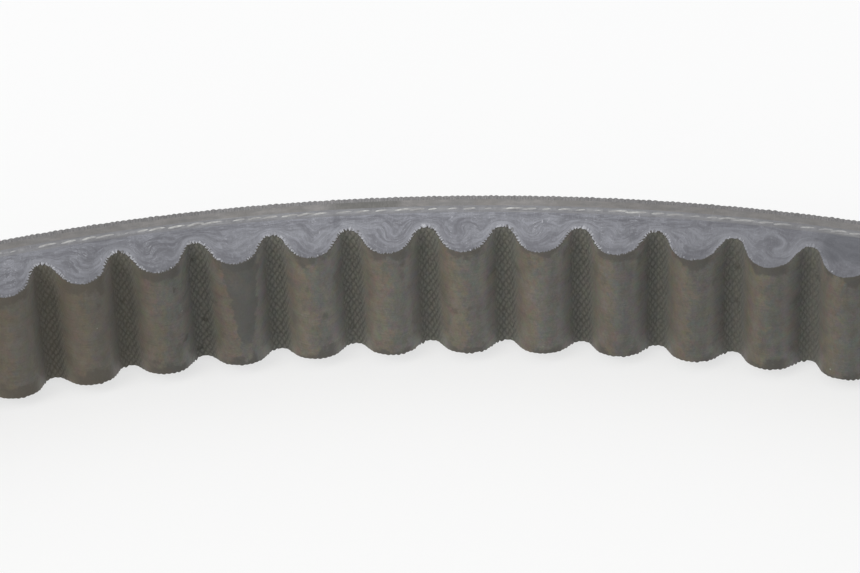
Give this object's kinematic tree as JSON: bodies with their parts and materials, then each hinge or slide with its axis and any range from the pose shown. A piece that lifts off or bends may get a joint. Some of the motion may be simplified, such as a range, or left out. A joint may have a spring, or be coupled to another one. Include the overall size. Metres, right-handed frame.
{
  "type": "variable speed v-belt",
  "caption": "Endless raw-edge cogged V-belt for a variable-speed drive, standing on its edge, with a flexing oval loop.",
  "frame": {"origin": "middle of the loop, half-way across the belt's width", "axes": "+Z across the belt's width, +X along the loop's longer diameter; the belt stands on the edge that faces -Z"},
  "size_m": [0.2988, 0.2568, 0.0182],
  "materials": {
    "back_canvas": "rubberised canvas, grey-brown, matte",
    "back_rubber": "ground rubber edge, grey-brown, matte",
    "tension_cord": "twisted cord in rubber, pale, matte",
    "adhesion_rubber": "ground rubber edge, blue-grey, matte",
    "cog_body": "fibre-loaded rubber, ground, marbled blue-grey",
    "cog_facing": "bias-woven fabric pressed into rubber, brown-black, matte"
  },
  "bodies": {
    "span_far": {"back_canvas_far": "back_canvas", "back_rubber_far": "back_rubber", "tension_cord_far": "tension_cord", "adhesion_rubber_far": "adhesion_rubber", "cog_body_far": "cog_body", "cog_facing_far": "cog_facing"},
    "span_far_right": {"back_canvas_far_right": "back_canvas", "back_rubber_far_right": "back_rubber", "tension_cord_far_right": "tension_cord", "adhesion_rubber_far_right": "adhesion_rubber", "cog_body_far_right": "cog_body", "cog_facing_far_right": "cog_facing"},
    "span_end_right": {"back_canvas_end_right": "back_canvas", "back_rubber_end_right": "back_rubber", "tension_cord_end_right": "tension_cord", "adhesion_rubber_end_right": "adhesion_rubber", "cog_body_end_right": "cog_body", "cog_facing_end_right": "cog_facing"},
    "span_side_right": {"back_canvas_side_right": "back_canvas", "back_rubber_side_right": "back_rubber", "tension_cord_side_right": "tension_cord", "adhesion_rubber_side_right": "adhesion_rubber", "cog_body_side_right": "cog_body", "cog_facing_side_right": "cog_facing"},
    "span_near_right": {"back_canvas_near_right": "back_canvas", "back_rubber_near_right": "back_rubber", "tension_cord_near_right": "tension_cord", "adhesion_rubber_near_right": "adhesion_rubber", "cog_body_near_right": "cog_body", "cog_facing_near_right": "cog_facing"},
    "span_near_left": {"back_canvas_near_left": "back_canvas", "back_rubber_near_left": "back_rubber", "tension_cord_near_left": "tension_cord", "adhesion_rubber_near_left": "adhesion_rubber", "cog_body_near_left": "cog_body", "cog_facing_near_left": "cog_facing"},
    "span_side_left": {"back_canvas_side_left": "back_canvas", "back_rubber_side_left": "back_rubber", "tension_cord_side_left": "tension_cord", "adhesion_rubber_side_left": "adhesion_rubber", "cog_body_side_left": "cog_body", "cog_facing_side_left": "cog_facing"},
    "span_end_left": {"back_canvas_end_left": "back_canvas", "back_rubber_end_left": "back_rubber", "tension_cord_end_left": "tension_cord", "adhesion_rubber_end_left": "adhesion_rubber", "cog_body_end_left": "cog_body", "cog_facing_end_left": "cog_facing"},
    "span_far_left": {"back_canvas_far_left": "back_canvas", "back_rubber_far_left": "back_rubber", "tension_cord_far_left": "tension_cord", "adhesion_rubber_far_left": "adhesion_rubber", "cog_body_far_left": "cog_body", "cog_facing_far_left": "cog_facing"}
  },
  "joints": [
    {"name": "flex_right_1", "type": "hinge", "parent": "span_far", "child": "span_far_right", "pos_m": [0.05315, 0.11828, 0], "axis": [0, 0, -1], "range_deg": [-18, 18], "stiffness_Nm_per_rad": 0.6},
    {"name": "flex_right_2", "type": "hinge", "parent": "span_far_right", "child": "span_end_right", "pos_m": [0.13487, 0.05197, 0], "axis": [0, 0, -1], "range_deg": [-18, 18], "stiffness_Nm_per_rad": 0.6},
    {"name": "flex_right_3", "type": "hinge", "parent": "span_end_right", "child": "span_side_right", "pos_m": [0.13487, -0.05197, 0], "axis": [0, 0, -1], "range_deg": [-18, 18], "stiffness_Nm_per_rad": 0.6},
    {"name": "flex_right_4", "type": "hinge", "parent": "span_side_right", "child": "span_near_right", "pos_m": [0.05315, -0.11828, 0], "axis": [0, 0, -1], "range_deg": [-18, 18], "stiffness_Nm_per_rad": 0.6},
    {"name": "flex_left_1", "type": "hinge", "parent": "span_far", "child": "span_far_left", "pos_m": [-0.05315, 0.11828, 0], "axis": [0, 0, 1], "range_deg": [-18, 18], "stiffness_Nm_per_rad": 0.6},
    {"name": "flex_left_2", "type": "hinge", "parent": "span_far_left", "child": "span_end_left", "pos_m": [-0.13487, 0.05197, 0], "axis": [0, 0, 1], "range_deg": [-18, 18], "stiffness_Nm_per_rad": 0.6},
    {"name": "flex_left_3", "type": "hinge", "parent": "span_end_left", "child": "span_side_left", "pos_m": [-0.13487, -0.05197, 0], "axis": [0, 0, 1], "range_deg": [-18, 18], "stiffness_Nm_per_rad": 0.6},
    {"name": "flex_left_4", "type": "hinge", "parent": "span_side_left", "child": "span_near_left", "pos_m": [-0.05315, -0.11828, 0], "axis": [0, 0, 1], "range_deg": [-18, 18], "stiffness_Nm_per_rad": 0.6}
  ],
  "couplings": [
    {"joint": "flex_right_1", "follows": "flex_right_2", "ratio": -1},
    {"joint": "flex_left_3", "follows": "flex_right_2", "ratio": 1},
    {"joint": "flex_left_4", "follows": "flex_right_2", "ratio": -1},
    {"joint": "flex_left_1", "follows": "flex_left_2", "ratio": -1},
    {"joint": "flex_right_3", "follows": "flex_left_2", "ratio": 1},
    {"joint": "flex_right_4", "follows": "flex_left_2", "ratio": -1}
  ]
}
